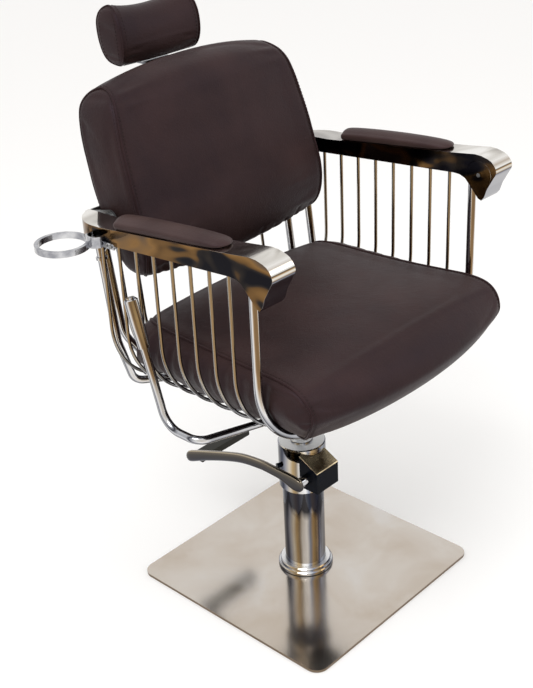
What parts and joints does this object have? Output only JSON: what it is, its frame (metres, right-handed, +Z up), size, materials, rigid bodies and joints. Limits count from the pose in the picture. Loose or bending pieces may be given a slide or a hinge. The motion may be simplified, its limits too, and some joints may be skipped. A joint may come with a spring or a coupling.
{
  "type": "threading chair",
  "caption": "Salon threading chair: padded bucket seat in a chrome wire cradle with armrests, reclining back, headrest, dryer ring and a foot-pumped column on a square plate.",
  "frame": {"origin": "on the floor, at the column's axis, in the underside of the base plate", "axes": "+Z up, the chair faces -Y, so +X is the sitter's left"},
  "size_m": [0.7805, 0.7367, 1.1835],
  "materials": {
    "satin_steel": "satin",
    "chrome": "mirror",
    "inner_steel": "machined",
    "black": "gloss",
    "leather": "soft grain",
    "wood": "painted",
    "rubber": "matt",
    "bar_metal": "polished"
  },
  "bodies": {
    "base": {"base_plate": "satin_steel", "flange_screws": "inner_steel", "foot_flange": "inner_steel", "collar_gasket": "rubber", "floor_collar": "chrome", "column_cover": "chrome", "lift_cylinder": "inner_steel", "pump_head": "chrome", "rod_guide": "chrome", "plunger_barrel": "inner_steel", "pump_box": "black", "pump_lid": "chrome", "oil_plug": "black"},
    "plunger": {"pump_plunger": "inner_steel"},
    "foot_lever": {"lever_shaft": "chrome", "lever_sleeve": "chrome", "pump_crank": "inner_steel", "pump_lever": "chrome", "foot_pedal": "rubber"},
    "lift": {"piston_rod": "chrome", "piston": "inner_steel"},
    "seat": {"seat_mount": "black", "cross_bars": "black", "front_cradle": "chrome", "front_uprights": "chrome", "wire_cradles": "chrome", "left_wires": "chrome", "right_wires": "chrome", "left_rail": "chrome", "right_rail": "chrome", "rear_posts": "chrome", "back_wires": "chrome", "rear_hoop": "chrome", "post_rings": "chrome", "left_arm": "bar_metal", "right_arm": "bar_metal", "arm_bases": "inner_steel", "arm_plugs": "chrome", "plug_screws": "inner_steel", "left_pad": "leather", "right_pad": "leather", "seat_board": "wood", "seat_cushion": "leather", "pivot_pins": "inner_steel", "lever_bearing": "black", "dryer_holder": "chrome", "holder_screws": "inner_steel"},
    "back": {"back_cushion": "leather", "back_panel": "wood", "back_brackets": "chrome", "post_guide": "black"},
    "headrest_post": {"headrest_posts": "chrome"},
    "headrest": {"headrest_bracket": "chrome", "headrest_cushion": "leather"},
    "release_lever": {"recline_lever": "chrome", "lever_grip": "chrome", "grip_cap": "chrome"}
  },
  "joints": [
    {"name": "foot_lever_hinge", "type": "hinge", "parent": "base", "child": "foot_lever", "pos_m": [0, -0.057, 0.268], "axis": [1, 0, 0], "range_deg": [-20, 0], "stiffness_Nm_per_rad": 30, "springref_deg": 8.59},
    {"name": "plunger_slide", "type": "slide", "parent": "base", "child": "plunger", "axis": [0, 0, 1], "range_m": [-0.0076, 0]},
    {"name": "lift_slide", "type": "slide", "parent": "base", "child": "lift", "axis": [0, 0, 1], "range_m": [-0.11, 0.02]},
    {"name": "seat_swivel", "type": "hinge", "parent": "lift", "child": "seat", "pos_m": [0, 0, 0.47], "axis": [0, 0, 1], "continuous": true},
    {"name": "back_recline", "type": "hinge", "parent": "seat", "child": "back", "pos_m": [0, 0.215, 0.842], "axis": [-1, 0, 0], "range_deg": [0, 20]},
    {"name": "headrest_lift", "type": "slide", "parent": "back", "child": "headrest_post", "axis": [0, 0.2334, 0.9724], "range_m": [0, 0.05]},
    {"name": "headrest_tilt", "type": "hinge", "parent": "headrest_post", "child": "headrest", "pos_m": [0, 0.3479, 1.05552], "axis": [-1, 0, 0], "range_deg": [0, 20]},
    {"name": "release_lever_hinge", "type": "hinge", "parent": "seat", "child": "release_lever", "pos_m": [-0.124, -0.06, 0.45048], "axis": [-0.9766, 0, 0.2149], "range_deg": [0, 14], "stiffness_Nm_per_rad": 6, "springref_deg": -11.46}
  ],
  "couplings": [
    {"joint": "plunger_slide", "follows": "foot_lever_hinge", "m_per_rad": 0.021}
  ]
}
